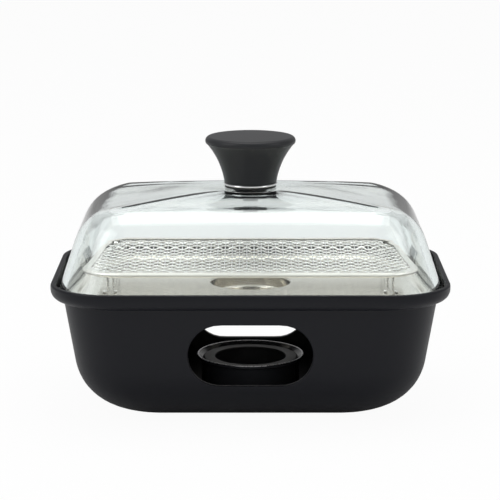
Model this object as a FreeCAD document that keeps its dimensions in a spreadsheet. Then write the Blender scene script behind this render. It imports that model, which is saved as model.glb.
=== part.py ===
# Table-top smoker box: a cast base with two windows, a burner standing inside it,
# a pressed drip tray with a wood-chip well, a wire grill on legs and a lift-off glass lid.
# Frame: origin on the ground under the middle of the box, +X to the right, +Y to the back, +Z up.
import FreeCAD, Part
import math
import os
import re
import Sketcher

os.makedirs("parts", exist_ok=True)

# Base: overall plan, walls and rim
base_height = 91.6
rim_length = 260.0
rim_width = 171.5
rim_corner = 40.5
rim_band = 11.0
rim_curve = 7.5
rim_wall = 3.6
channel_depth = 7.5
wall_inset = 8.0
wall_lean = 9.0
base_wall = 4.0
base_radius = 45.0
corner_share = 0.35

# Base: windows and burner seat
window_length = 80.4
window_height = 42.1
window_middle = 48.8
window_corner = 20.8
seat_wall = 2.0
seat_pad = 1.0
seat_height = 2.0
seat_clearance = 0.4

# Burner
burner_height = 27.8
burner_radius = 33.0
burner_wall = 1.2
burner_lip = 2.4
burner_lip_radius = 36.1
fuel_cup_clearance = 0.5
fuel_cup_height = 23.6
fuel_cup_wall = 0.8
ring_bore_radius = 24.0
ring_thickness = 1.2

# Tray
tray_sheet = 0.8
tray_clearance = 0.4
pan_clearance = 0.7
pan_depth = 2.6
pan_slope = 4.5
well_radius = 26.2
well_depth = 10.0

# Grill
grill_length = 220.0
grill_width = 121.0
grill_corner = 26.0
grill_rise = 15.75
hem_width = 5.0
hem_height = 3.0
hem_skin = 1.0
mesh_thickness = 1.6
mesh_pitch = 9.8
mesh_bar = 1.4
mesh_columns = 21
mesh_rows = 11
leg_column = 9.5
leg_row = 3.5
leg_wire = 1.6
leg_bend = 1.9
leg_toe = 1.6

# Glass lid
glass = 5.0
lid_clearance = 0.8
lid_lean = 18.6
lid_side = 34.0
shoulder_radius = 29.5
shoulder_end = 80.0
crown_rise = 8.6
lid_seat_radius = 22.0
lid_hole_radius = 4.0

# Knob and its fastening
knob_height = 31.0
knob_radius = 30.0
knob_foot_radius = 17.3
knob_flare = 52.0
knob_edge = 3.0
knob_dome = 0.8
ferrule_radius = 17.9
ferrule_height = 1.4
gasket_radius = 17.2
gasket_height = 1.6
insert_radius = 5.0
insert_height = 14.0
screw_radius = 2.5
screw_clearance = 0.05
bore_clearance = 0.4
screw_grip = 10.0
insert_spare = 1.0
screw_head_radius = 5.0
screw_head_height = 3.0
drive_width = 1.2
drive_length = 5.6
drive_depth = 1.5
washer_radius = 8.0
washer_height = 1.0
under_gasket_radius = 11.0
under_gasket_height = 1.5

# The sizes above, one to a row of the document's sheet
sizes = {name: value for name, value in globals().items() if isinstance(value, (int, float))}
doc = FreeCAD.newDocument("smoker_box")
sheet = doc.addObject("Spreadsheet::Sheet", "dims")
for row, (alias, value) in enumerate(sizes.items(), start=1):
    sheet.set(f"A{row}", str(value))
    sheet.setAlias(f"A{row}", alias)
UP = FreeCAD.Vector(0, 0, 1)
doc.recompute()


def bound(text):
    """Turn a formula in the sheet's own words into one that an object can be bound to."""
    return re.sub(r"[a-z_]+", lambda word: "dims." + word[0] if word[0] in sizes else word[0], text)


def number(owner, text):
    """Today's value of a formula, used to start a sketch near its final shape."""
    return float(owner.evalExpression(bound(text)))


def new_body(name, x="0", y="0", z="0"):
    """A named piece, modelled from its own foot and placed in the assembly."""
    body = doc.addObject("PartDesign::Body", name)
    body.Label = name
    body.setExpression("Placement.Base.x", bound(f"({x}) * 1mm"))
    body.setExpression("Placement.Base.y", bound(f"({y}) * 1mm"))
    body.setExpression("Placement.Base.z", bound(f"({z}) * 1mm"))
    return body


def new_sketch(body, name, plane="XY_Plane", offset="0", rise="0"):
    """An empty sketch on one of the piece's origin planes, moved off it and along its own second axis."""
    sketch = body.newObject("Sketcher::SketchObject", name)
    support = next(item for item in body.Origin.OriginFeatures if item.Role == plane)
    sketch.AttachmentSupport = (support, [""])
    sketch.MapMode = "FlatFace"
    sketch.setExpression("AttachmentOffset.Base.z", bound(f"({offset}) * 1mm"))
    sketch.setExpression("AttachmentOffset.Base.y", bound(f"({rise}) * 1mm"))
    return sketch


def constrain(sketch, kind, *where, to):
    """A dimension in a sketch, bound to a formula."""
    index = sketch.addConstraint(Sketcher.Constraint(kind, *where, number(sketch, to)))
    sketch.setExpression(f"Constraints[{index}]", bound(f"({to}) * 1mm"))


def add_outline(sketch, length, width, corner):
    """Add a rounded rectangle round the sketch's origin."""
    half_x = number(sketch, length) / 2
    half_y = number(sketch, width) / 2
    radius = number(sketch, corner)
    flat_x = half_x - radius
    flat_y = half_y - radius
    first = sketch.GeometryCount
    bends = [(flat_x, -flat_y, 270), (flat_x, flat_y, 0), (-flat_x, flat_y, 90), (-flat_x, -flat_y, 180)]
    runs = [((-flat_x, -half_y), (flat_x, -half_y)), ((half_x, -flat_y), (half_x, flat_y)),
            ((flat_x, half_y), (-flat_x, half_y)), ((-half_x, flat_y), (-half_x, -flat_y))]
    for run, bend in zip(runs, bends):
        sketch.addGeometry(Part.LineSegment(FreeCAD.Vector(*run[0], 0), FreeCAD.Vector(*run[1], 0)))
        circle = Part.Circle(FreeCAD.Vector(bend[0], bend[1], 0), UP, radius)
        start = math.radians(bend[2])
        sketch.addGeometry(Part.ArcOfCircle(circle, start, start + math.pi / 2))
    for edge in range(8):
        here = first + edge
        after = first + (edge + 1) % 8
        sketch.addConstraint(Sketcher.Constraint("Tangent", here, 2, after, 1))
    for run, direction in enumerate(("Horizontal", "Vertical", "Horizontal", "Vertical")):
        sketch.addConstraint(Sketcher.Constraint(direction, first + 2 * run))
    for bend in (3, 5, 7):
        sketch.addConstraint(Sketcher.Constraint("Equal", first + 1, first + bend))
    sketch.addConstraint(Sketcher.Constraint("Symmetric", first + 1, 3, first + 5, 3, -1, 1))
    constrain(sketch, "DistanceX", -1, 1, first + 2, 1, to=f"({length}) / 2")
    constrain(sketch, "DistanceY", -1, 1, first + 4, 1, to=f"({width}) / 2")
    constrain(sketch, "Radius", first + 1, to=corner)


def add_profile(sketch, corners):
    """Add a closed outline through corners, each an (x, y) pair of formulas.

    A corner's third item bows the edge that leaves it: (radius, side), where side +1 keeps
    the arc's centre on the left of the edge and -1 on its right.
    """
    first = sketch.GeometryCount
    points = [FreeCAD.Vector(number(sketch, item[0]), number(sketch, item[1]), 0) for item in corners]
    for index, item in enumerate(corners):
        start = points[index]
        end = points[(index + 1) % len(points)]
        if len(item) == 2:
            sketch.addGeometry(Part.LineSegment(start, end))
            continue
        radius = number(sketch, item[2])
        chord = end - start
        left = FreeCAD.Vector(-chord.y, chord.x, 0).normalize()
        reach = math.sqrt(max(radius ** 2 - (chord.Length / 2) ** 2, 0))
        centre = (start + end) / 2 + left * item[3] * reach
        first_end, last_end = (start, end) if item[3] > 0 else (end, start)
        opening = math.atan2(first_end.y - centre.y, first_end.x - centre.x)
        closing = math.atan2(last_end.y - centre.y, last_end.x - centre.x)
        if closing < opening:
            closing += 2 * math.pi
        sketch.addGeometry(Part.ArcOfCircle(Part.Circle(centre, UP, radius), opening, closing))
    for index, item in enumerate(corners):
        here = first + index
        after = first + (index + 1) % len(corners)
        flipped = len(item) > 2 and item[3] < 0
        after_item = corners[(index + 1) % len(corners)]
        after_flipped = len(after_item) > 2 and after_item[3] < 0
        here_end = 1 if flipped else 2
        here_start = 2 if flipped else 1
        after_start = 2 if after_flipped else 1
        sketch.addConstraint(Sketcher.Constraint("Coincident", here, here_end, after, after_start))
        if item[0] == "0":
            sketch.addConstraint(Sketcher.Constraint("PointOnObject", here, here_start, -2))
        else:
            constrain(sketch, "DistanceX", -1, 1, here, here_start, to=item[0])
        if item[1] == "0":
            sketch.addConstraint(Sketcher.Constraint("PointOnObject", here, here_start, -1))
        else:
            constrain(sketch, "DistanceY", -1, 1, here, here_start, to=item[1])
        if len(item) > 2:
            constrain(sketch, "Radius", here, to=item[2])


def loft(body, name, sections, kind="PartDesign::AdditiveLoft"):
    """Join rounded rectangles, each (length, width, corner, height), into one skin."""
    sketches = []
    for index, (length, width, corner, height) in enumerate(sections):
        sketch = new_sketch(body, f"{name}_section_{index + 1}", offset=height)
        add_outline(sketch, length, width, corner)
        sketches.append(sketch)
    doc.recompute()
    feature = body.newObject(kind, name)
    feature.Profile = sketches[0]
    feature.Sections = [(sketch, [""]) for sketch in sketches[1:]]
    feature.Ruled = True
    return feature


def inset_section(length, width, corner, inset, height):
    """The plan outline drawn in by an inset: the corners tighten by only a share of it."""
    return (f"{length} - 2 * ({inset})", f"{width} - 2 * ({inset})",
            f"{corner} - corner_share * ({inset})", height)


def pad(body, sketch, name, length):
    """Raise a sketch into a solid."""
    feature = body.newObject("PartDesign::Pad", name)
    feature.Profile = sketch
    feature.setExpression("Length", bound(f"({length}) * 1mm"))
    return feature


def pocket(body, sketch, name, length, reversed_cut=False, both_ways=False):
    """Cut a sketch's shape out of the piece."""
    feature = body.newObject("PartDesign::Pocket", name)
    feature.Profile = sketch
    feature.Midplane = both_ways
    feature.Reversed = reversed_cut
    feature.setExpression("Length", bound(f"({length}) * 1mm"))
    return feature


def turn(body, name, corners, kind="PartDesign::Revolution"):
    """Turn one closed half-section of (radius, height) corners round the piece's own axis."""
    sketch = new_sketch(body, name + "_section", "XZ_Plane")
    add_profile(sketch, corners)
    doc.recompute()
    feature = body.newObject(kind, name)
    feature.Profile = sketch
    feature.ReferenceAxis = (sketch, ["V_Axis"])
    feature.Angle = 360
    return feature


def ring(name, bore, outer, height, z):
    """A plain washer."""
    body = new_body(name, z=z)
    turn(body, name + "_ring", [(bore, "0"), (outer, "0"), (outer, height), (bore, height)])
    return body


# Base: outer skin from the flat bottom up the rounded foot and leaning wall to the rim
base = new_body("base_body")
foot_top = "(base_radius * (1 - sin(wall_lean * 1deg)))"
wall_top = "(base_height - rim_band)"
foot_inset = f"(wall_inset + ({wall_top} - {foot_top}) * tan(wall_lean * 1deg) + base_radius * cos(wall_lean * 1deg))"


def base_section(inset, height):
    """One level of the base's plan."""
    return inset_section("rim_length", "rim_width", "rim_corner", inset, height)


def foot_sections(radius):
    """Levels round the foot's quarter bend, for the outer or the inner radius."""
    levels = []
    for share in (0, 0.2, 0.4, 0.6, 0.8, 1.0):
        angle = f"({share} * (90 - wall_lean) * 1deg)"
        levels.append(base_section(f"{foot_inset} - {radius} * sin{angle}", f"base_radius - {radius} * cos{angle}"))
    return levels


skin = foot_sections("base_radius")
skin.append(base_section("wall_inset", wall_top))
for degrees in (30, 60, 90):
    level = f"{wall_top} + rim_curve * (1 - cos({degrees} * 1deg))"
    skin.append(base_section(f"rim_curve * (1 - sin({degrees} * 1deg))", level))
skin.append(base_section("0", "base_height"))
loft(base, "base_skin", skin)

# Base: hollow inside, channel that carries the tray and lid, and the window right through
hollow = foot_sections("(base_radius - base_wall)")
inner_inset = "(wall_inset + base_wall / cos(wall_lean * 1deg))"
hollow.append(base_section(f"{inner_inset} - rim_band * tan(wall_lean * 1deg)", "base_height"))
loft(base, "base_hollow", hollow, "PartDesign::SubtractiveLoft")
channel_sketch = new_sketch(base, "channel_outline", offset="base_height")
add_outline(channel_sketch, "rim_length - 2 * rim_wall", "rim_width - 2 * rim_wall", "rim_corner - rim_wall")
pocket(base, channel_sketch, "channel", "channel_depth")
window_sketch = new_sketch(base, "window_outline", "XZ_Plane", rise="window_middle")
add_outline(window_sketch, "window_length", "window_height", "window_corner")
pocket(base, window_sketch, "windows", "rim_width", both_ways=True)

# Base: flat boss on the floor, as high as the foot's bend under the burner's edge, with a low ring
# that keeps the burner in the middle
seat_bore = "burner_radius + seat_clearance"
seat_outer = f"{seat_bore} + seat_wall"
inner_bend = "(base_radius - base_wall)"
bend_share = f"(max(0; burner_radius - rim_width / 2 + {foot_inset}) / {inner_bend})"
bend_rise = f"({inner_bend} * (2 - sqrt(1 - {bend_share}^2) - cos((90 - wall_lean) * 0.1deg)))"
seat_level = f"(base_wall + max(seat_pad; {bend_rise}))"
turn(base, "burner_seat", [("0", "base_wall / 2"), (seat_outer, "base_wall / 2"),
                           (seat_outer, f"{seat_level} + seat_height"), (seat_bore, f"{seat_level} + seat_height"),
                           (seat_bore, seat_level), ("0", seat_level)])

# Burner: a cup with a rolled lip, a loose fuel cup inside it and the flame ring on top of that
burner_bore = "(burner_radius - burner_wall)"
burner = new_body("burner_cup", z=seat_level)
turn(burner, "burner_turning", [("0", "0"), ("burner_radius", "0"),
                                ("burner_radius", "burner_height - burner_lip"),
                                ("burner_lip_radius", "burner_height - burner_lip"),
                                ("burner_lip_radius", "burner_height"), (burner_bore, "burner_height"),
                                (burner_bore, "burner_wall"), ("0", "burner_wall")])
fuel_radius = f"({burner_bore} - fuel_cup_clearance)"
fuel_bore = f"({fuel_radius} - fuel_cup_wall)"
fuel = new_body("fuel_cup", z=f"{seat_level} + burner_wall")
turn(fuel, "fuel_turning", [("0", "0"), (fuel_radius, "0"), (fuel_radius, "fuel_cup_height"),
                            (fuel_bore, "fuel_cup_height"), (fuel_bore, "fuel_cup_wall"),
                            ("0", "fuel_cup_wall")])
ring("flame_ring", "ring_bore_radius", fuel_radius, "ring_thickness",
     f"{seat_level} + burner_wall + fuel_cup_height")

# Tray: flat flange in the channel, shallow pan hanging in the base's mouth, round well for wood chips
channel_floor = "(base_height - channel_depth)"
mouth_inset = f"({inner_inset} - ({channel_floor} - {wall_top}) * tan(wall_lean * 1deg))"
tray = new_body("tray", z=channel_floor)
tray_inset = "(rim_wall + tray_clearance)"
flange_sketch = new_sketch(tray, "flange_outline")
add_outline(flange_sketch, f"rim_length - 2 * {tray_inset}", f"rim_width - 2 * {tray_inset}",
            f"rim_corner - {tray_inset}")
pad(tray, flange_sketch, "flange", "tray_sheet")
pan_inset = f"({mouth_inset} + pan_clearance)"
pan_floor = "(tray_sheet - pan_depth)"
loft(tray, "pan_skin", [base_section(f"{pan_inset} + pan_slope", "-pan_depth"), base_section(pan_inset, "0")])
turn(tray, "well_skin", [("0", "-pan_depth - well_depth"), ("well_radius + tray_sheet", "-pan_depth - well_depth"),
                         ("well_radius + tray_sheet", "-pan_depth"), ("0", "-pan_depth")])
loft(tray, "pan_hollow", [base_section(f"{pan_inset} + pan_slope + tray_sheet", pan_floor),
                          base_section(f"{pan_inset} + tray_sheet", "tray_sheet")], "PartDesign::SubtractiveLoft")
turn(tray, "well_hollow", [("0", f"{pan_floor} - well_depth"), ("well_radius", f"{pan_floor} - well_depth"),
                           ("well_radius", pan_floor), ("0", pan_floor)], "PartDesign::Groove")

# Grill: a folded hem round the mesh, standing on four bent-wire legs
grill_foot = f"({channel_floor} + {pan_floor})"
mesh_level = f"({grill_foot} + grill_rise)"
mesh_length = "(grill_length - 2 * hem_skin)"
mesh_width = "(grill_width - 2 * hem_skin)"
mesh_corner = "(grill_corner - hem_skin)"
hem = new_body("grill_hem", z=f"{mesh_level} + (mesh_thickness - hem_height) / 2")
hem_sketch = new_sketch(hem, "hem_outline")
add_outline(hem_sketch, "grill_length", "grill_width", "grill_corner")
add_outline(hem_sketch, "grill_length - 2 * hem_width", "grill_width - 2 * hem_width", "grill_corner - hem_width")
pad(hem, hem_sketch, "hem_band", "hem_height")
groove_sketch = new_sketch(hem, "groove_outline", offset="hem_height / 2")
add_outline(groove_sketch, mesh_length, mesh_width, mesh_corner)
pocket(hem, groove_sketch, "mesh_groove", "mesh_thickness", both_ways=True)


def add_leg(name, side, end):
    """One hairpin of wire: two turned-out toes on the tray, its loop welded under the mesh."""
    leg = new_body(name, f"{side} * leg_column * mesh_pitch", f"{end} * leg_row * mesh_pitch", grill_foot)
    path = new_sketch(leg, name + "_path", "XZ_Plane")
    bend = number(path, "leg_bend")
    low = number(path, "leg_wire / 2")
    high = number(path, "grill_rise - leg_wire / 2 - leg_bend")
    toe = number(path, "2 * leg_bend + leg_toe")
    corners = [(-toe, low), (-2 * bend, low), (-bend, low + bend), (-bend, high),
               (bend, high), (bend, low + bend), (2 * bend, low), (toe, low)]
    points = [FreeCAD.Vector(x, z, 0) for x, z in corners]
    foot_left = Part.Circle(FreeCAD.Vector(-2 * bend, low + bend, 0), UP, bend)
    crown = Part.Circle(FreeCAD.Vector(0, high, 0), UP, bend)
    foot_right = Part.Circle(FreeCAD.Vector(2 * bend, low + bend, 0), UP, bend)
    path.addGeometry(Part.LineSegment(points[0], points[1]))
    path.addGeometry(Part.ArcOfCircle(foot_left, 1.5 * math.pi, 2 * math.pi))
    path.addGeometry(Part.LineSegment(points[2], points[3]))
    path.addGeometry(Part.ArcOfCircle(crown, 0, math.pi))
    path.addGeometry(Part.LineSegment(points[4], points[5]))
    path.addGeometry(Part.ArcOfCircle(foot_right, math.pi, 1.5 * math.pi))
    path.addGeometry(Part.LineSegment(points[6], points[7]))
    for here, here_end, after, after_end in ((0, 2, 1, 1), (1, 2, 2, 1), (2, 2, 3, 2),
                                             (3, 1, 4, 1), (4, 2, 5, 1), (5, 2, 6, 1)):
        path.addConstraint(Sketcher.Constraint("Tangent", here, here_end, after, after_end))
    path.addConstraint(Sketcher.Constraint("Horizontal", 0))
    path.addConstraint(Sketcher.Constraint("Vertical", 2))
    path.addConstraint(Sketcher.Constraint("Equal", 1, 3))
    path.addConstraint(Sketcher.Constraint("Equal", 1, 5))
    path.addConstraint(Sketcher.Constraint("PointOnObject", 3, 3, -2))
    path.addConstraint(Sketcher.Constraint("Symmetric", 0, 1, 6, 2, -2))
    constrain(path, "Radius", 1, to="leg_bend")
    constrain(path, "DistanceY", -1, 1, 0, 1, to="leg_wire / 2")
    constrain(path, "DistanceY", -1, 1, 3, 3, to="grill_rise - leg_wire / 2 - leg_bend")
    constrain(path, "DistanceX", -1, 1, 6, 2, to="2 * leg_bend + leg_toe")
    section = new_sketch(leg, name + "_section", "YZ_Plane", "-(2 * leg_bend + leg_toe)")
    section.addGeometry(Part.Circle(FreeCAD.Vector(0, low, 0), UP, low))
    section.addConstraint(Sketcher.Constraint("PointOnObject", 0, 3, -2))
    constrain(section, "DistanceY", -1, 1, 0, 3, to="leg_wire / 2")
    constrain(section, "Radius", 0, to="leg_wire / 2")
    doc.recompute()
    wire = leg.newObject("PartDesign::AdditivePipe", name + "_wire")
    wire.Profile = section
    wire.Spine = (path, [f"Edge{edge + 1}" for edge in range(path.GeometryCount)])


for end_name, end in (("front", -1), ("rear", 1)):
    for side_name, side in (("left", -1), ("right", 1)):
        add_leg(f"grill_leg_{end_name}_{side_name}", side, end)

# Lid: one pressed glass shell, its foot on the tray's flange just inside the rim
lid_level = f"({channel_floor} + tray_sheet)"
lid = new_body("glass_lid", z=lid_level)
lid_inset = "(rim_wall + lid_clearance)"
side_inset = "(lid_side * tan(lid_lean * 1deg))"
shoulder_height = "(lid_side + shoulder_radius * (sin(shoulder_end * 1deg) - sin(lid_lean * 1deg)))"
shoulder_inset = f"({side_inset} + shoulder_radius * (cos(lid_lean * 1deg) - cos(shoulder_end * 1deg)))"
lid_height = f"({shoulder_height} + crown_rise)"


def lid_section(inset, height):
    """One level of the lid's plan."""
    return inset_section(f"(rim_length - 2 * {lid_inset})", f"(rim_width - 2 * {lid_inset})",
                         f"(rim_corner - {lid_inset})", inset, height)


def crown_section(share, drop):
    """One level of the crown, between the shoulders' top and the flat round seat of the knob."""
    outer = lid_section(shoulder_inset, "0")
    seat = ("(2 * lid_seat_radius + 1)", "(2 * lid_seat_radius + 1)", "lid_seat_radius")
    mixed = [f"(1 - {share}) * ({wide}) + {share} * {narrow}" for wide, narrow in zip(outer, seat)]
    return (*mixed, f"{shoulder_height} + crown_rise * sin({share} * 90deg) - {drop}")


def lid_sections(offset):
    """Levels of the lid's skin, or of its hollow when offset is the glass thickness."""
    levels = [lid_section(f"{offset} / cos(lid_lean * 1deg)", "0")]
    for share in (0, 0.25, 0.5, 0.75, 1.0):
        lean = f"((lid_lean + {share} * (shoulder_end - lid_lean)) * 1deg)"
        inset = f"{side_inset} + shoulder_radius * cos(lid_lean * 1deg) - (shoulder_radius - {offset}) * cos{lean}"
        height = f"lid_side - shoulder_radius * sin(lid_lean * 1deg) + (shoulder_radius - {offset}) * sin{lean}"
        levels.append(lid_section(inset, height))
    for share in (0.3, 0.65, 1.0):
        levels.append(crown_section(share, offset))
    return levels


loft(lid, "lid_skin", lid_sections("0"))
loft(lid, "lid_hollow", lid_sections("glass"), "PartDesign::SubtractiveLoft")
turn(lid, "knob_hole", [("0", "0"), ("lid_hole_radius", "0"), ("lid_hole_radius", lid_height), ("0", lid_height)],
     "PartDesign::Groove")

# Knob stack on top of the glass: soft gasket, bright ferrule, moulded knob with its metal insert
crown_level = f"({lid_level} + {lid_height})"
knob_level = f"({crown_level} + gasket_height + ferrule_height)"
screw_bore = "(screw_radius + bore_clearance)"
ring("upper_gasket", screw_bore, "gasket_radius", "gasket_height", crown_level)
ring("knob_ferrule", screw_bore, "ferrule_radius", "ferrule_height", f"{crown_level} + gasket_height")
knob = new_body("knob", z=knob_level)
knob_shoulder = "knob_height - knob_dome - knob_edge"
dome_radius = "((knob_radius - knob_edge) * (knob_radius - knob_edge) + knob_dome * knob_dome) / (2 * knob_dome)"
turn(knob, "knob_turning", [("insert_radius", "0"), ("knob_foot_radius", "0", "knob_flare", -1),
                            ("knob_radius", knob_shoulder, "knob_edge", 1),
                            ("knob_radius - knob_edge", "knob_height - knob_dome", dome_radius, 1),
                            ("0", "knob_height"), ("0", "insert_height"), ("insert_radius", "insert_height")])
insert = new_body("knob_insert", z=knob_level)
thread_bore = "(screw_radius + screw_clearance)"
bore_end = "screw_grip + insert_spare"
turn(insert, "insert_turning", [(thread_bore, "0"), ("insert_radius", "0"), ("insert_radius", "insert_height"),
                                ("0", "insert_height"), ("0", bore_end), (thread_bore, bore_end)])

# Fastening under the glass: soft gasket, flat washer and a pan-head screw up into the insert
under_level = f"({crown_level} - glass - under_gasket_height)"
washer_level = f"({under_level} - washer_height)"
ring("lower_gasket", screw_bore, "under_gasket_radius", "under_gasket_height", under_level)
ring("screw_washer", screw_bore, "washer_radius", "washer_height", washer_level)
screw = new_body("lid_screw", z=f"{washer_level} - screw_head_height")
clamped = "(washer_height + under_gasket_height + glass + gasket_height + ferrule_height)"
screw_end = f"(screw_head_height + {clamped} + screw_grip)"
turn(screw, "screw_turning", [("0", "0"), ("screw_head_radius", "0"), ("screw_head_radius", "screw_head_height"),
                              ("screw_radius", "screw_head_height"), ("screw_radius", screw_end),
                              ("0", screw_end)])
drive = new_sketch(screw, "drive_outline")
arm = "drive_length / 2"
web = "drive_width / 2"
add_profile(drive, [(arm, f"-{web}"), (arm, web), (web, web), (web, arm), (f"-{web}", arm), (f"-{web}", web),
                    (f"-{arm}", web), (f"-{arm}", f"-{web}"), (f"-{web}", f"-{web}"), (f"-{web}", f"-{arm}"),
                    (web, f"-{arm}"), (web, f"-{web}")])
pocket(screw, drive, "drive_recess", "drive_depth", reversed_cut=True)

# Mesh: crossed wires as one holed sheet with a plain edge, its edge held in the hem's groove
mesh = new_body("grill_mesh", z=mesh_level)
plate_sketch = new_sketch(mesh, "plate_outline")
add_outline(plate_sketch, mesh_length, mesh_width, mesh_corner)
pad(mesh, plate_sketch, "plate", "mesh_thickness")
hole_half = "(mesh_pitch - mesh_bar) / 2"
hole_x = "(mesh_pitch * (mesh_columns - 1) / 2)"
hole_y = "(mesh_pitch * (mesh_rows - 1) / 2)"
hole_sketch = new_sketch(mesh, "hole_outline")
add_profile(hole_sketch, [(f"-{hole_x} - {hole_half}", f"-{hole_y} - {hole_half}"),
                          (f"-{hole_x} + {hole_half}", f"-{hole_y} - {hole_half}"),
                          (f"-{hole_x} + {hole_half}", f"-{hole_y} + {hole_half}"),
                          (f"-{hole_x} - {hole_half}", f"-{hole_y} + {hole_half}")])
hole = pocket(mesh, hole_sketch, "hole", "mesh_thickness", reversed_cut=True)
doc.recompute()
holes = mesh.newObject("PartDesign::LinearPattern", "holes")
holes.Originals = [hole]
holes.Direction = (hole_sketch, ["H_Axis"])
holes.Direction2 = (hole_sketch, ["V_Axis"])
holes.setExpression("Length", bound(f"2 * {hole_x} * 1mm"))
holes.setExpression("Length2", bound(f"2 * {hole_y} * 1mm"))
holes.setExpression("Occurrences", bound("mesh_columns"))
holes.setExpression("Occurrences2", bound("mesh_rows"))
mesh.Tip = holes
selvedge_sketch = new_sketch(mesh, "selvedge_outline")
add_outline(selvedge_sketch, mesh_length, mesh_width, mesh_corner)
add_outline(selvedge_sketch, f"{mesh_length} - 2 * (hem_width - hem_skin)",
            f"{mesh_width} - 2 * (hem_width - hem_skin)", f"{mesh_corner} - (hem_width - hem_skin)")
doc.recompute()
selvedge = pad(mesh, selvedge_sketch, "selvedge", "mesh_thickness")
mesh.Tip = selvedge
doc.recompute()

# Every object is sound before any piece is written
faults = [item.Name for item in doc.Objects if {"Invalid", "Error"} & set(item.State)]
pieces = [item for item in doc.Objects if item.TypeId == "PartDesign::Body"]
faults += [piece.Label for piece in pieces if piece.Shape.isNull() or not piece.Shape.isValid()]
if faults:
    raise RuntimeError("unsound: " + ", ".join(faults))
for piece in pieces:
    box = piece.Shape.BoundBox
    print(f"{piece.Label}: {len(piece.Shape.Solids)} solid, {piece.Shape.Volume:.0f} mm3, "
          f"x {box.XMin:.2f} {box.XMax:.2f} y {box.YMin:.2f} {box.YMax:.2f} z {box.ZMin:.2f} {box.ZMax:.2f}")
    piece.Shape.exportStep(f"parts/{piece.Label}.step")
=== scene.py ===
import math

import bmesh
import bpy
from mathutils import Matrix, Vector


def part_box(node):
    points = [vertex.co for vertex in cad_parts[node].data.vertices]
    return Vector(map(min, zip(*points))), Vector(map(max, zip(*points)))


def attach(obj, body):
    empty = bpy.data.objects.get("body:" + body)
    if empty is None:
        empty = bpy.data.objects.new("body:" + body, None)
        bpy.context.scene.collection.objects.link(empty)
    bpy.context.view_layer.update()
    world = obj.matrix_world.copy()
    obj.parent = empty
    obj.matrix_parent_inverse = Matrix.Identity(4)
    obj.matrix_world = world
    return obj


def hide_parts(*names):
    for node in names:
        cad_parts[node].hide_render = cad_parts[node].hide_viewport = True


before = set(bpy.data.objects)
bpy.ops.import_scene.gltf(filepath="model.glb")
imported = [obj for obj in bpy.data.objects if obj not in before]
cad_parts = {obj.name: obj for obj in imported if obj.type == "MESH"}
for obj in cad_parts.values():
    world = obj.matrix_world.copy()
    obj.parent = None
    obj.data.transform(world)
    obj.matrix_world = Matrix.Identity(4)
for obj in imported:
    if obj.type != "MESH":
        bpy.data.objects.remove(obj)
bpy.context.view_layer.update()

# Base: one aluminium casting, open at the top, with a long window through the front and the
# back wall and a channelled rim round its mouth. Sprayed with a fine satin black coating.
# Sizes here and below are millimetres, and a finished piece is brought to metres.
METRES = 0.001
rim_half_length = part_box("base_body")[1].x / METRES
rim_half_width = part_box("base_body")[1].y / METRES
rim_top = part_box("base_body")[1].z / METRES
rim_corner = 40.5
rim_wall = 3.6
rim_band = 11.0
rim_curve = 7.5
rim_edge = 1.2
tray_sheet = 0.8
channel_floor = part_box("tray")[1].z / METRES - tray_sheet
channel_land = 3.0
mouth_depth = 4.0
wall_inset = 8.0
wall_lean = math.radians(9)
wall_top = rim_top - rim_band
wall_join = wall_top - 2.0
base_wall = 4.0
foot_radius = 45.0
bend_top = foot_radius * (1 - math.sin(wall_lean))
corner_share = 0.35
window_half_length = 40.2
window_half_height = 21.05
window_middle = 48.8
window_edge = 1.1
window_border = window_edge + 3.5
window_margin = 3
window_rows = 16
row_gap = 1.0
weld_gap = 0.001
bend_steps = 12
long_steps = 22
short_steps = 12


def outline_places(half_x, half_y, corner, level):
    """Places round a rounded rectangle, anticlockwise from the left end of its front side."""
    flat_x = half_x - corner
    flat_y = half_y - corner
    sides = ((-flat_x, -half_y, flat_x, -half_y, long_steps),
             (half_x, -flat_y, half_x, flat_y, short_steps),
             (flat_x, half_y, -flat_x, half_y, long_steps),
             (-half_x, flat_y, -half_x, -flat_y, short_steps))
    centres = ((flat_x, -flat_y), (flat_x, flat_y), (-flat_x, flat_y), (-flat_x, -flat_y))
    places = []
    for turn, (start_x, start_y, end_x, end_y, steps) in enumerate(sides):
        for step in range(steps):
            share = step / steps
            places.append(Vector((start_x + (end_x - start_x) * share,
                                  start_y + (end_y - start_y) * share, level)))
        for step in range(bend_steps):
            angle = math.radians(90 * (turn - 1 + step / bend_steps))
            places.append(Vector((centres[turn][0] + corner * math.cos(angle),
                                  centres[turn][1] + corner * math.sin(angle), level)))
    return places


def ring_edges(ring):
    """The edges that join a ring's neighbouring points, in their order."""
    neighbours = zip(ring, ring[1:] + ring[:1])
    return [edge for here, after in neighbours for edge in here.link_edges
            if edge.other_vert(here) == after]


def skin_rings(bm, rings, closed=False):
    """Wrap a grid of faces round the rings of places, weld its seam and give its points by ring."""
    around = len(rings[0])
    turns = len(rings) if closed else len(rings) - 1
    rows = [[None] * (around + 1) for row in range(turns + 1)]
    for vert in bmesh.ops.create_grid(bm, x_segments=around, y_segments=turns, size=1)["verts"]:
        row = round((vert.co.y + 1) / 2 * turns)
        column = round((vert.co.x + 1) / 2 * around)
        vert.co = rings[row % len(rings)][column % around]
        rows[row][column] = vert
    seams = {row[-1]: row[0] for row in rows}
    if closed:
        seams.update(zip(rows[-1], rows[0][:-1] + rows[0][:1]))
    bmesh.ops.weld_verts(bm, targetmap=seams)
    return [row[:-1] for row in rows[:len(rings)]]


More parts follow.
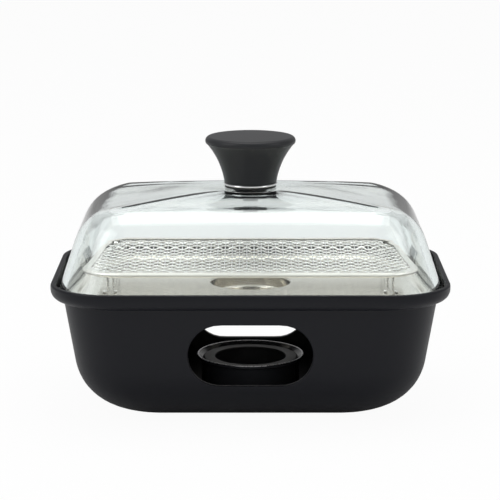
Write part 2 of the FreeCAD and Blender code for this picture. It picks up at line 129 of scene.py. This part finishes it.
def rounded_path(corners, steps=5):
    """A path through (across, up, radius) corners, each rounded by its own radius."""
    points = [Vector(corner[:2]) for corner in corners]
    path = [points[0]]
    for before, here, after, corner in zip(points, points[1:], points[2:], corners[1:]):
        radius = corner[2]
        if not radius:
            path.append(here)
            continue
        arriving = (before - here).normalized()
        leaving = (after - here).normalized()
        half_angle = arriving.angle(leaving) / 2
        reach = radius / math.tan(half_angle)
        centre = here + (arriving + leaving).normalized() * (radius / math.sin(half_angle))
        start = (here + arriving * reach - centre).normalized()
        end = (here + leaving * reach - centre).normalized()
        for step in range(steps + 1):
            path.append(centre + start.slerp(end, step / steps) * radius)
    path.append(points[-1])
    return path


def finish_piece(bm, name, body, material, nodes):
    """Bring a mesh to metres, make it an object, hang it under its body and hide the frame's nodes.
    """
    bmesh.ops.remove_doubles(bm, verts=bm.verts, dist=weld_gap)
    bmesh.ops.recalc_face_normals(bm, faces=bm.faces)
    if bm.calc_volume(signed=True) < 0:
        bmesh.ops.reverse_faces(bm, faces=bm.faces)
    bmesh.ops.scale(bm, vec=(METRES,) * 3, verts=bm.verts)
    mesh = bpy.data.meshes.new(name)
    bm.to_mesh(mesh)
    bm.free()
    piece = bpy.data.objects.new(name, mesh)
    bpy.context.scene.collection.objects.link(piece)
    mesh.shade_smooth()
    mesh.materials.append(material)
    even = piece.modifiers.new("even_shading", "WEIGHTED_NORMAL")
    even.keep_sharp = True
    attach(piece, body)
    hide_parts(*nodes)
    return piece


def foot_inset(radius, level):
    """How far in from the rim the foot's bend lies at a level, for its outer or inner radius."""
    cosine = max(-1.0, min(1.0, (foot_radius - level) / radius))
    lean = (wall_top - bend_top) * math.tan(wall_lean)
    full = wall_inset + lean + foot_radius * math.cos(wall_lean)
    return full - radius * math.sqrt(1 - cosine ** 2)


def skin_inset(level, depth):
    """Inset of the wall's outside (depth 0) or inside (depth base_wall) at a level."""
    if level < foot_radius - (foot_radius - depth) * math.sin(wall_lean):
        return foot_inset(foot_radius - depth, level)
    return wall_inset + depth / math.cos(wall_lean) + (wall_top - level) * math.tan(wall_lean)


def foot_levels(radius):
    """Levels up the foot's bend, evenly spaced round it."""
    bends = 16
    turn = math.pi / 2 - wall_lean
    return [foot_radius - radius * math.cos(step / bends * turn) for step in range(bends + 1)]


def base_ring(inset, level, share=corner_share):
    """One ring of the base's skin."""
    return outline_places(rim_half_length - inset, rim_half_width - inset,
                          rim_corner - share * inset, level)


def stadium_ring(angles, spread, depth, inner, side):
    """Places round the window, spread past its edge and sunk into the wall by a depth."""
    flat = window_half_length - window_half_height
    places = []
    for angle in angles:
        cosine = math.cos(angle)
        sine = math.sin(angle)
        across = window_half_height * cosine / max(abs(sine), 1e-6)
        if abs(across) <= flat:
            edge = Vector((across, math.copysign(window_half_height, sine)))
            outward = Vector((0, math.copysign(1, sine)))
        else:
            middle = Vector((math.copysign(flat, cosine), 0))
            along = Vector((cosine, sine))
            reach = middle.dot(along)
            reach += math.sqrt(reach ** 2 - flat ** 2 + window_half_height ** 2)
            edge = along * reach
            outward = (edge - middle).normalized()
        edge += outward * spread
        level = window_middle + edge.y
        wall = rim_half_width - skin_inset(level, base_wall if inner else 0)
        wall += depth if inner else -depth
        places.append(Vector((edge.x, side * wall, level)))
    return places


def cut_window(bm, side, outer_rings, inner_rings):
    """Open one wall and line the opening with a rounded edge, from the outside to the inside."""
    first = 0 if side < 0 else long_steps + short_steps + 2 * bend_steps
    reach = range(first + window_margin, first + long_steps - window_margin + 1)
    borders = []
    for rings in (outer_rings, inner_rings):
        patch = [ring[place] for ring in rings for place in reach]
        faces = [face for face in bm.faces if all(vert in patch for vert in face.verts)]
        bmesh.ops.delete(bm, geom=faces, context="FACES")
        borders.append([edge for edge in bm.edges if edge.is_boundary and edge.verts[0] in patch
                        and edge.verts[1] in patch])
    corners = {vert for edge in borders[0] for vert in edge.verts}
    angles = sorted(math.atan2(vert.co.z - window_middle, vert.co.x) for vert in corners)
    curls = [math.radians(turn) for turn in (0, 22.5, 45, 67.5, 90)]
    bends = [(window_edge * (1 - math.sin(curl)), window_edge * (1 - math.cos(curl)))
             for curl in curls]
    loops = [(window_border, 0, False)] + [(*bend, False) for bend in bends]
    loops += [(*bend, True) for bend in reversed(bends)] + [(window_border, 0, True)]
    rings = skin_rings(bm, [stadium_ring(angles, *loop, side) for loop in loops])
    bmesh.ops.bridge_loops(bm, edges=borders[0] + ring_edges(rings[0]))
    bmesh.ops.bridge_loops(bm, edges=borders[1] + ring_edges(rings[-1]))


class Amount:
    """A number in a material that changes over the surface, with ordinary arithmetic."""

    def __init__(self, finish, socket):
        self.finish = finish
        self.socket = socket

    def _sum(self, operation, other):
        node = self.finish.node("ShaderNodeMath", {0: self, 1: other}, operation=operation)
        return Amount(self.finish, node.outputs[0])

    def __add__(self, other):
        return self._sum("ADD", other)

    def __mul__(self, other):
        return self._sum("MULTIPLY", other)

    def to_range(self, low, high):
        """Spread a 0 to 1 pattern between two limits."""
        return self * (high - low) + low


class Finish:
    """One surface finish: a shader with uniform values, and patterns on the object's own places."""

    def __init__(self, name, **uniform):
        self.material = bpy.data.materials.new(name)
        self.material.use_nodes = True
        self.nodes = self.material.node_tree.nodes
        self.links = self.material.node_tree.links
        self.shader = self.nodes["Principled BSDF"]
        for socket, value in uniform.items():
            self.shader.inputs[socket.replace("_", " ")].default_value = value
        self.places = Amount(self, self.node("ShaderNodeTexCoord").outputs["Object"])

    def node(self, kind, values=None, **settings):
        """Add any node, set its options and fill or link its inputs."""
        node = self.nodes.new(kind)
        for option, value in settings.items():
            setattr(node, option, value)
        for socket, value in (values or {}).items():
            if isinstance(value, Amount):
                self.links.new(value.socket, node.inputs[socket])
            else:
                node.inputs[socket].default_value = value
        return node

    def noise(self, scale, detail=3.0, stretch=(1, 1, 1)):
        """Soft random pattern, scale in cycles to a metre, drawn out along the small stretches."""
        spread = self.node("ShaderNodeMapping", {"Vector": self.places, "Scale": stretch})
        where = Amount(self, spread.outputs[0])
        made = self.node("ShaderNodeTexNoise", {"Vector": where, "Scale": scale, "Detail": detail})
        return Amount(self, made.outputs[0])

    def drive(self, socket, amount):
        """Let a pattern set one of the shader's inputs."""
        self.links.new(amount.socket, self.shader.inputs[socket])

    def tint(self, low, high, amount):
        """Colour the surface between two colours by a pattern."""
        mixed = self.node("ShaderNodeMix", {0: amount, 6: (*low, 1), 7: (*high, 1)},
                          data_type="RGBA")
        self.links.new(mixed.outputs[2], self.shader.inputs["Base Color"])

    def emboss(self, amount, height):
        """Raise the surface by a pattern, height in metres."""
        bump = self.node("ShaderNodeBump", {"Height": amount, "Distance": height, "Strength": 1.0})
        self.links.new(bump.outputs[0], self.shader.inputs["Normal"])


def black_coating():
    """Fine-grained satin black spray coat."""
    finish = Finish("satin_black_coating", IOR=1.33)
    grain = finish.noise(2600, 2)
    cloud = finish.noise(18, 4)
    finish.tint((0.0026, 0.0030, 0.0058), (0.0040, 0.0046, 0.0082), cloud)
    finish.drive("Roughness", cloud.to_range(0.36, 0.46) + grain * 0.04)
    finish.emboss(grain, 0.00003)
    return finish.material


window_low = window_middle - window_half_height - window_edge - window_border
window_high = window_middle + window_half_height + window_edge + window_border
window_levels = [window_low + (window_high - window_low) * row / (window_rows - 1)
                 for row in range(window_rows)]
bm = bmesh.new()
outer_foot = [level for level in foot_levels(foot_radius) if level < window_low - row_gap]
outer_levels = outer_foot + window_levels + [wall_join]
outer_rings = [base_ring(skin_inset(level, 0), level) for level in outer_levels]
mouth_inset = skin_inset(channel_floor, base_wall)
mouth_low = channel_floor - mouth_depth
rim_outside = rounded_path([(skin_inset(wall_join, 0), wall_join), (wall_inset, wall_top, rim_edge),
                            (0, wall_top, rim_curve), (0, rim_top, rim_edge),
                            (rim_wall / 2, rim_top)], 7)
rim_inside = rounded_path([(rim_wall / 2, rim_top), (rim_wall, rim_top, rim_edge),
                           (rim_wall, channel_floor, 0.8),
                           (mouth_inset - channel_land, channel_floor)])
mouth = rounded_path([(mouth_inset - channel_land, channel_floor),
                      (mouth_inset, channel_floor, 1.0),
                      (skin_inset(mouth_low, base_wall), mouth_low)])
rim_rings = [base_ring(*point) for point in rim_outside[1:]]
rim_rings += [base_ring(*point, 1.0) for point in rim_inside[1:]]
rim_rings += [base_ring(*point) for point in mouth[1:-1]]
inner_foot = [level for level in foot_levels(foot_radius - base_wall)
              if level < window_low - row_gap]
inner_levels = inner_foot + window_levels + [mouth_low]
inner_rings = [base_ring(skin_inset(level, base_wall), level) for level in inner_levels]
skin = skin_rings(bm, outer_rings + rim_rings + inner_rings[::-1])
outer_window = skin[len(outer_foot):][:window_rows]
inner_window = skin[::-1][len(inner_foot):][:window_rows]
for side in (-1, 1):
    cut_window(bm, side, outer_window, inner_window)
bmesh.ops.contextual_create(bm, geom=ring_edges(skin[0]))
bmesh.ops.contextual_create(bm, geom=ring_edges(skin[-1]))
finish_piece(bm, "cast_base", "base", black_coating(), ["base_body"])


# Burner: a turned cup in glossy black enamel with a rolled lip, loose on the base's floor. A
# band of bright steel along the lip's outer edge is a painted highlight, a thin bright line.
seat_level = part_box("burner_cup")[0].z / METRES
burner_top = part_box("burner_cup")[1].z / METRES
burner_radius = 33.0
burner_lip = 2.4
lip_dish = 2.6
lip_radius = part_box("burner_cup")[1].x / METRES
burner_bore = 31.8
burner_wall = 1.2
# Depth below the top and width of the painted highlight band along the lip's outer edge.
lip_highlight_depth = 0.5
lip_highlight_width = 1.5


def steel(name, colour, smooth, rough, stretch=(1, 1, 1)):
    """Bare steel: faint streaks in its gloss and colour, drawn out along the small stretches."""
    finish = Finish(name, Metallic=1.0)
    streaks = finish.noise(900, 3, stretch)
    cloud = finish.noise(30, 3)
    finish.tint([part * 0.9 for part in colour], colour, cloud)
    finish.drive("Roughness", streaks.to_range(smooth, rough))
    finish.emboss(streaks, 0.000004)
    return finish.material


def enamel(name, colour, smooth, rough):
    """Glossy or dull black skin with a slightly uneven surface."""
    finish = Finish(name)
    cloud = finish.noise(60, 3)
    grain = finish.noise(1500, 2)
    finish.tint(colour, [part * 1.5 for part in colour], cloud)
    finish.drive("Roughness", cloud.to_range(smooth, rough))
    finish.emboss(grain, 0.00001)
    return finish.material


def spin_piece(name, body, material, nodes, corners, steps=5):
    """A turned piece: its half section of (radius, height, corner radius) spun round the middle."""
    bm = bmesh.new()
    verts = [bm.verts.new((place.x, 0, place.y)) for place in rounded_path(corners, steps)]
    edges = [bm.edges.new(pair) for pair in zip(verts, verts[1:])]
    bmesh.ops.spin(bm, geom=verts + edges, cent=(0, 0, 0), axis=(0, 0, 1), angle=math.tau,
                   steps=96, use_merge=True)
    return finish_piece(bm, name, body, material, nodes)


burner_floor = seat_level + burner_wall
lip_low = burner_top - burner_lip
glossy = enamel("burner_enamel", (0.034, 0.035, 0.040), 0.14, 0.24)
burner = spin_piece("burner", "burner", glossy, ["burner_cup"],
                    [(0, seat_level), (burner_radius, seat_level, 1.2),
                     (burner_radius, lip_low, 0.4), (lip_radius, lip_low, 0.7),
                     (lip_radius, burner_top, 0.45), (lip_radius - 1.0, burner_top, 0.45),
                     (burner_bore, burner_top - lip_dish, 0.8),
                     (burner_bore, burner_floor, 0.8), (0, burner_floor)])
# Faces along the top of the lip's outer edge take bright steel: a painted highlight.
burner.data.materials.append(steel("painted_lip_highlight", (0.62, 0.62, 0.64), 0.2, 0.35))
for face in burner.data.polygons:
    reach = face.center.xy.length / METRES
    painted_highlight_face = face.center.z / METRES > burner_top - lip_highlight_depth and reach > lip_radius - lip_highlight_width
    face.material_index = 1 if painted_highlight_face else 0

# Fuel cup and flame ring: a thin steel cup loose in the burner and a flat ring lying on its rim,
# both blackened by the flame.
fuel_radius = 31.3
fuel_wall = 0.8
fuel_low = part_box("fuel_cup")[0].z / METRES
fuel_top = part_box("fuel_cup")[1].z / METRES
ring_bore = 24.0
ring_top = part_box("flame_ring")[1].z / METRES
fuel_bore = fuel_radius - fuel_wall
fuel_floor = fuel_low + fuel_wall
ring_start = ring_bore + 2
sooty = enamel("sooted_steel", (0.045, 0.045, 0.047), 0.38, 0.55)
spin_piece("fuel_tin", "fuel", sooty, ["fuel_cup"],
           [(0, fuel_low), (fuel_radius, fuel_low, 1.4), (fuel_radius, fuel_top, 0.3),
            (fuel_bore, fuel_top, 0.3), (fuel_bore, fuel_floor, 0.8), (0, fuel_floor)])
spin_piece("flame_guard", "flame", sooty, ["flame_ring"],
           [(ring_start, fuel_top), (fuel_radius, fuel_top, 0.4), (fuel_radius, ring_top, 0.4),
            (ring_bore, ring_top, 0.5), (ring_bore, fuel_top, 0.4), (ring_start, fuel_top)])

# Drip tray: one pressing of polished stainless sheet. Its flange lies in the rim's channel, and a
# shallow pan drops from it to a round well for the wood chips.
flange_inset = rim_half_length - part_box("tray")[1].x / METRES
flange_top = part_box("tray")[1].z / METRES
pan_gap = 0.7
pan_slope = 4.5
pan_depth = 2.6
pan_flat = 26.0
well_radius = 26.2
well_centre = 8.0
well_land = 6.0
well_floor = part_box("tray")[0].z / METRES + tray_sheet
pan_floor = flange_top - pan_depth
pan_inset = mouth_inset + pan_gap
pan_under = pan_floor - tray_sheet
well_under = well_floor - tray_sheet


def round_ring(radius, level):
    """A circle of points, each in line with its fellow on the rounded rectangle."""
    places = outline_places(rim_half_length - pan_inset, rim_half_width - pan_inset, rim_corner, 0)
    return [Vector((*(place.xy.normalized() * radius), level)) for place in places]


bm = bmesh.new()
well_inside = rounded_path([(well_centre, well_floor), (well_radius, well_floor, 2.2),
                            (well_radius, pan_floor, 1.6), (well_radius + well_land, pan_floor)], 8)
pan_inside = rounded_path([(pan_inset + pan_flat, pan_floor),
                           (pan_inset + pan_slope + tray_sheet, pan_floor, 5.0),
                           (pan_inset + tray_sheet, flange_top, 2.4),
                           (flange_inset, flange_top, 0.3),
                           (flange_inset, channel_floor, 0.3), (pan_inset, channel_floor, 1.6),
                           (pan_inset + pan_slope, pan_under, 5.8),
                           (pan_inset + pan_flat, pan_under)], 7)
well_outside = rounded_path([(well_radius + well_land, pan_under),
                             (well_radius + tray_sheet, pan_under, 0.8),
                             (well_radius + tray_sheet, well_under, 3.0),
                             (well_centre, well_under)], 8)
rings = [round_ring(*point) for point in well_inside]
rings += [base_ring(*point) for point in pan_inside]
rings += [round_ring(*point) for point in well_outside]
rings = skin_rings(bm, rings)
bmesh.ops.contextual_create(bm, geom=ring_edges(rings[0]))
bmesh.ops.contextual_create(bm, geom=ring_edges(rings[-1]))
finish_piece(bm, "drip_tray", "tray",
             steel("polished_sheet", (0.72, 0.685, 0.61), 0.13, 0.24, (0.05, 1, 1)), ["tray"])

# Grill mesh: plain weave of crimped stainless wire, cut to a rounded rectangle, its ends held in
# the hem. Every wire runs over one crossing wire and under the next.
wire_pitch = 4.9
wire_radius = 0.42
wire_sides = 6
wire_steps = 4
mesh_low, mesh_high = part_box("grill_mesh")
mesh_middle = (mesh_low.z + mesh_high.z) / 2 / METRES
crimp = (mesh_high.z - mesh_low.z) / 2 / METRES - wire_radius
mesh_half_x = mesh_high.x / METRES
mesh_half_y = mesh_high.y / METRES
mesh_corner = 25.0
wire_trim = 0.2
wire_weld = 0.01


def wire_reach(across, half_across, half_along):
    """How far a wire runs each way, so that it ends on the mesh's rounded corner."""
    past = abs(across) - (half_across - mesh_corner)
    if past <= 0:
        return half_along
    return half_along - mesh_corner + math.sqrt(max(0.0, mesh_corner ** 2 - past ** 2))


def add_wire(bm, number, across, reach, sideways):
    """Roll a strip of faces into one crimped wire."""
    steps = max(4, round(2 * reach / wire_pitch * wire_steps))
    strip = bmesh.ops.create_grid(bm, x_segments=steps, y_segments=wire_sides, size=0.5)["verts"]
    for vert in strip:
        along = vert.co.x * 2 * reach
        around = (vert.co.y + 0.5) * math.tau
        wave = crimp * math.cos(math.pi * (along / wire_pitch + 0.5 + number))
        level = mesh_middle + (-wave if sideways else wave) + wire_radius * math.sin(around)
        side = across + wire_radius * math.cos(around)
        vert.co = (along, side, level) if sideways else (side, along, level)


bm = bmesh.new()
columns = int(mesh_half_x / wire_pitch)
rows = int(mesh_half_y / wire_pitch)
for number in range(-columns, columns):
    across = (number + 0.5) * wire_pitch
    add_wire(bm, number, across, wire_reach(across, mesh_half_x, mesh_half_y) - wire_trim, False)
for number in range(-rows, rows):
    across = (number + 0.5) * wire_pitch
    add_wire(bm, number, across, wire_reach(across, mesh_half_y, mesh_half_x) - wire_trim, True)
bmesh.ops.remove_doubles(bm, verts=bm.verts, dist=wire_weld)
bmesh.ops.holes_fill(bm, edges=[edge for edge in bm.edges if edge.is_boundary], sides=0)
wire_steel = steel("drawn_wire", (0.80, 0.79, 0.77), 0.2, 0.34)
finish_piece(bm, "woven_mesh", "grill", wire_steel, ["grill_mesh"])

# Grill hem: a folded band of stainless sheet pressed over the ends of the wires all round. It
# holds the weave together, stiffens it and covers its sharp ends.
hem_low, hem_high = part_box("grill_hem")
hem_bottom = hem_low.z / METRES
hem_top = hem_high.z / METRES
hem_half_x = hem_high.x / METRES
hem_half_y = hem_high.y / METRES
hem_corner = 26.0
hem_width = 5.0
hem_leaf = 0.65
hem_start = hem_width - 1
slot_low = hem_bottom + hem_leaf
slot_high = hem_top - hem_leaf
bm = bmesh.new()
fold = rounded_path([(hem_start, hem_top), (0, hem_top, 1.3), (0, hem_bottom, 1.3),
                     (hem_width, hem_bottom, 0.3), (hem_width, slot_low, 0.3),
                     (hem_leaf, slot_low, 0.7), (hem_leaf, slot_high, 0.7),
                     (hem_width, slot_high, 0.3), (hem_width, hem_top, 0.3),
                     (hem_start, hem_top)], 4)[:-1]
skin_rings(bm, [outline_places(hem_half_x - inset, hem_half_y - inset, hem_corner - inset, level)
                for inset, level in fold], closed=True)
hem_steel = steel("hem_sheet", (0.86, 0.83, 0.77), 0.24, 0.38)
finish_piece(bm, "folded_hem", "grill", hem_steel, ["grill_hem"])


# Grill legs: four hairpins of bent stainless wire, welded under the mesh. They are shown as the
# frame has them.
def show_node(name, material):
    """Give a piece of the frame its own finish."""
    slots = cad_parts[name].data.materials
    if not len(slots):
        slots.append(material)
    for place in range(len(slots)):
        slots[place] = material


for corner_name in ("front_left", "front_right", "rear_left", "rear_right"):
    show_node("grill_leg_" + corner_name, wire_steel)

# Lid: pressed clear glass 5 mm thick, faintly green through its depth, with a ground foot that
# stands in the rim's channel. It leans in, turns over a round shoulder and rises to a flat seat.
glass = 5.0
lid_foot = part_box("glass_lid")[0].z / METRES
lid_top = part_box("glass_lid")[1].z / METRES
lid_inset = rim_half_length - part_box("glass_lid")[1].x / METRES
lid_lean = math.radians(18.6)
lid_side = 34.0
shoulder_radius = 29.5
shoulder_end = math.radians(80)
front_lift = 0.14
lid_seat = 22.0
lid_hole = 4.2
lid_steps = 10
lid_rows = 4
lid_corner = 36.1
crown_slope = 1.5
foot_round = 1.4
foot_rise = 3.0
seat_land = 9
hole_edge = 0.6


def lid_rings(depth):
    """The glass's outside (depth 0) or inside (its thickness), as rings from wall to seat."""
    foot = lid_inset + depth / math.cos(lid_lean)
    walls = [foot + row / lid_rows * lid_side * math.tan(lid_lean) for row in range(lid_rows + 1)]
    rings = [lid_places(inset, lid_foot + row / lid_rows * lid_side)
             for row, inset in enumerate(walls) if row]
    shoulder = lid_places(walls[-1], lid_foot + lid_side)
    facing = [outward(place, walls[-1]) for place in shoulder]
    radius = shoulder_radius - depth
    ends = []
    for step in range(1, lid_steps + 1):
        angle = lid_lean + (shoulder_end - lid_lean) * step / lid_steps
        ends = [turned(place, face, radius, angle) for place, face in zip(shoulder, facing)]
        rings.append(ends)
    seat = [place.xy.normalized() * lid_seat for place in shoulder]
    for step in range(1, lid_steps + 1):
        share = step / lid_steps
        crown = []
        for end, rest in zip(ends, seat):
            spot = end.xy.lerp(rest, share)
            height = lid_top - depth - end.z
            rise = (end.xy - rest).length * shoulder_lift(end) / math.tan(shoulder_end)
            slope = min(crown_slope, rise / height)
            lift = slope * share + (3 - 2 * slope) * share ** 2 + (slope - 2) * share ** 3
            crown.append(Vector((*spot, end.z + height * lift)))
        rings.append(crown)
    return rings, seat


def lid_places(inset, level):
    """One level of the lid's side wall."""
    return outline_places(rim_half_length - inset, rim_half_width - inset,
                          lid_corner - corner_share * (inset - lid_inset), level)


def outward(place, inset):
    """The way that the side wall faces at a place of its outline."""
    corner = lid_corner - corner_share * (inset - lid_inset)
    core_x = rim_half_length - inset - corner
    core_y = rim_half_width - inset - corner
    inside = Vector((max(-core_x, min(core_x, place.x)), max(-core_y, min(core_y, place.y))))
    return (place.xy - inside).normalized()


def shoulder_lift(place):
    """How much taller than round the shoulder is, most over the middle of front and back."""
    across = (place.x / (rim_half_length - lid_inset)) ** 2
    return 1 + front_lift * (place.y / (rim_half_width - lid_inset)) ** 2 * (2 - across)


def turned(place, face, radius, angle):
    """Where the shoulder has got to when it has turned to an angle."""
    inward = radius * (math.cos(lid_lean) - math.cos(angle))
    rise = radius * (math.sin(angle) - math.sin(lid_lean)) * shoulder_lift(place)
    return Vector((place.x - face.x * inward, place.y - face.y * inward, place.z + rise))


def clear_glass():
    """Clear glass with a faint green body and the slight unevenness of a pressing."""
    finish = Finish("clear_glass", Base_Color=(0.985, 0.995, 0.992, 1), IOR=1.5,
                    Transmission_Weight=1.0)
    cloud = finish.noise(14, 2)
    finish.drive("Roughness", cloud.to_range(0.0, 0.012))
    finish.emboss(cloud, 0.0004)
    body = finish.node("ShaderNodeVolumeAbsorption",
                       {"Color": (0.48, 0.70, 0.69, 1), "Density": 18.0})
    finish.links.new(body.outputs[0], finish.nodes["Material Output"].inputs["Volume"])
    return finish.material


bm = bmesh.new()
outside = lid_rings(0)[0]
inside, seat = lid_rings(glass)
foot_lean = foot_rise * math.tan(lid_lean)
foot_in = lid_inset + glass / math.cos(lid_lean)
foot = rounded_path([(foot_in + foot_lean, lid_foot + foot_rise), (foot_in, lid_foot, foot_round),
                     (lid_inset, lid_foot, foot_round),
                     (lid_inset + foot_lean, lid_foot + foot_rise)], 6)
foot_rings = [lid_places(*point) for point in foot]
lid_under = lid_top - glass
hole = [(lid_seat - seat_land, lid_top), (lid_hole + hole_edge, lid_top),
        (lid_hole, lid_top - hole_edge), (lid_hole, lid_under + hole_edge),
        (lid_hole + hole_edge, lid_under), (lid_seat - seat_land, lid_under)]
hole_rings = [[Vector((*(spot / lid_seat * radius), level)) for spot in seat]
              for radius, level in hole]
skin_rings(bm, foot_rings + outside + hole_rings + inside[::-1], closed=True)
finish_piece(bm, "clear_lid", "lid", clear_glass(), ["glass_lid"])

# Knob: moulded satin black plastic, flared to a flat top, over a bright turned ring and a rubber
# gasket that rests on the glass.
knob_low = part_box("knob")[0].z / METRES
knob_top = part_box("knob")[1].z / METRES
knob_radius = 30.0
knob_foot = 17.3
knob_bevel = 0.8
flare_centre = Vector((68.76, -7.46))
flare_radius = 52.0
flare_from = math.radians(171.4)
flare_to = math.radians(139.6)
edge_radius = 3.0
edge_level = 27.9
dome_rise = 0.1
insert_radius = 5.0
insert_top = 14.1
flare_steps = 16
dome_steps = 8
flare = []
for step in range(flare_steps + 1):
    angle = flare_from + (flare_to - flare_from) * step / flare_steps
    flare.append(flare_centre + flare_radius * Vector((math.cos(angle), math.sin(angle))))
edge_middle = Vector((knob_radius - edge_radius, edge_level))
for degrees in range(-32, 89, 8):
    angle = math.radians(degrees)
    flare.append(edge_middle + edge_radius * Vector((math.cos(angle), math.sin(angle))))
for step in range(dome_steps + 1):
    radius = edge_middle.x * (1 - step / dome_steps)
    flare.append(Vector((radius, knob_top - knob_low - dome_rise * (radius / edge_middle.x) ** 2)))
knob_section = [(0, insert_top), (insert_radius, insert_top), (insert_radius, 0),
                (knob_foot - knob_bevel, 0)]
knob_section += [tuple(spot) for spot in flare]
satin = Finish("satin_plastic", IOR=1.38)
knob_grain = satin.noise(1800, 2)
satin.tint((0.016, 0.017, 0.0195), (0.021, 0.022, 0.025), satin.noise(40, 3))
satin.drive("Roughness", knob_grain.to_range(0.36, 0.44))
satin.emboss(knob_grain, 0.00002)
spin_piece("flared_knob", "lid", satin.material, ["knob"],
           [(across, up + knob_low, 0) for across, up in knob_section])
collar_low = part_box("knob_ferrule")[0].z / METRES
collar_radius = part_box("knob_ferrule")[1].x / METRES
collar_middle = knob_low - 0.7
chrome = steel("chrome", (0.86, 0.86, 0.87), 0.04, 0.1)
spin_piece("bright_ring", "lid", chrome, ["knob_ferrule"],
           [(lid_hole, collar_middle), (lid_hole, knob_low, 0.1), (collar_radius, knob_low, 0.6),
            (collar_radius, collar_low, 0.6), (lid_hole, collar_low, 0.1),
            (lid_hole, collar_middle)])
gasket_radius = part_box("upper_gasket")[1].x / METRES
gasket_middle = lid_top + 0.8
rubber = enamel("black_rubber", (0.010, 0.010, 0.011), 0.5, 0.65)
spin_piece("top_gasket", "lid", rubber, ["upper_gasket"],
           [(lid_hole, gasket_middle), (lid_hole, lid_top, 0.1), (gasket_radius, lid_top, 0.6),
            (gasket_radius, collar_low, 0.6), (lid_hole, collar_low, 0.1),
            (lid_hole, gasket_middle)])

# Knob fastening: a brass insert in the knob, and a slotted screw with a washer and a gasket under
# the glass. They are shown as the frame has them.
show_node("lower_gasket", rubber)
show_node("knob_insert", steel("brass", (0.72, 0.52, 0.24), 0.3, 0.45))
plated = steel("plated_steel", (0.60, 0.60, 0.61), 0.22, 0.36)
show_node("screw_washer", plated)
show_node("lid_screw", plated)

# Camera, floor and light: the photograph's viewpoint, a plain pale floor and soft studio light.
# The lens and the viewpoint put the rims, windows and circles where the photograph has them.
# Sizes and places in this section are metres, apart from the lens.
looking_down = math.radians(11.547)
camera_data = bpy.data.cameras.new("viewpoint")
camera_data.lens = 150.45
camera_data.sensor_width = 36.0
camera_data.clip_end = 100
camera = bpy.data.objects.new("viewpoint", camera_data)
camera.location = (-0.0003, -1.3726, 0.3842)
camera.rotation_euler = (math.pi / 2 - looking_down, 0, 0)
bpy.context.scene.collection.objects.link(camera)
bpy.context.scene.camera = camera
bpy.context.scene.view_settings.view_transform = "Standard"

floor_reach = 12
paper_share = 0.95
floor_mesh = bpy.data.meshes.new("floor")
bm = bmesh.new()
bmesh.ops.create_grid(bm, x_segments=1, y_segments=1, size=floor_reach)
bm.to_mesh(floor_mesh)
bm.free()
floor = bpy.data.objects.new("floor", floor_mesh)
bpy.context.scene.collection.objects.link(floor)
floor_finish = Finish("pale_floor", Base_Color=(0.93, 0.93, 0.93, 1), Roughness=0.9)
floor_mesh.materials.append(floor_finish.material)
paper = floor_finish.node("ShaderNodeEmission", {"Color": (1, 1, 1, 1), "Strength": 1.0})
rays = floor_finish.node("ShaderNodeLightPath")
direct = Amount(floor_finish, rays.outputs["Is Camera Ray"])
through_glass = Amount(floor_finish, rays.outputs["Is Transmission Ray"])
floor_mix = floor_finish.node("ShaderNodeMixShader", {0: (direct + through_glass) * paper_share})
floor_finish.links.new(floor_finish.shader.outputs[0], floor_mix.inputs[1])
floor_finish.links.new(paper.outputs[0], floor_mix.inputs[2])
floor_finish.links.new(floor_mix.outputs[0],
                       floor_finish.nodes["Material Output"].inputs["Surface"])

studio_light = 0.42
world = bpy.data.worlds.new("studio")
bpy.context.scene.world = world
world.use_nodes = True
sky = world.node_tree.nodes["Background"]
sky.inputs["Color"].default_value = (1, 1, 1, 1)
sky.inputs["Strength"].default_value = studio_light
backdrop = world.node_tree.nodes.new("ShaderNodeBackground")
backdrop.inputs["Color"].default_value = (1, 1, 1, 1)
backdrop.inputs["Strength"].default_value = 1.0
sight = world.node_tree.nodes.new("ShaderNodeLightPath")
either = world.node_tree.nodes.new("ShaderNodeMath")
either.operation = "MAXIMUM"
world_mix = world.node_tree.nodes.new("ShaderNodeMixShader")
world.node_tree.links.new(sight.outputs["Is Camera Ray"], either.inputs[0])
world.node_tree.links.new(sight.outputs["Is Transmission Ray"], either.inputs[1])
world.node_tree.links.new(either.outputs[0], world_mix.inputs[0])
world.node_tree.links.new(sky.outputs[0], world_mix.inputs[1])
world.node_tree.links.new(backdrop.outputs[0], world_mix.inputs[2])
world.node_tree.links.new(world_mix.outputs[0],
                          world.node_tree.nodes["World Output"].inputs["Surface"])


aim = Vector((0, 0, 0.08))


def add_lamp(name, place, size, power):
    """A soft lamp of a place and size in metres, aimed at the middle of the box."""
    data = bpy.data.lights.new(name, "AREA")
    data.shape = "RECTANGLE"
    data.size = size[0]
    data.size_y = size[1]
    data.energy = power
    lamp = bpy.data.objects.new(name, data)
    lamp.location = place
    lamp.rotation_euler = (aim - Vector(place)).to_track_quat("-Z", "Y").to_euler()
    bpy.context.scene.collection.objects.link(lamp)


add_lamp("overhead", (0, 0.1, 1.7), (1.6, 1.2), 14)
add_lamp("left_front", (-1.5, -0.8, 1.1), (0.9, 1.2), 8)
add_lamp("right_front", (1.6, -0.7, 0.9), (0.8, 1.2), 4)
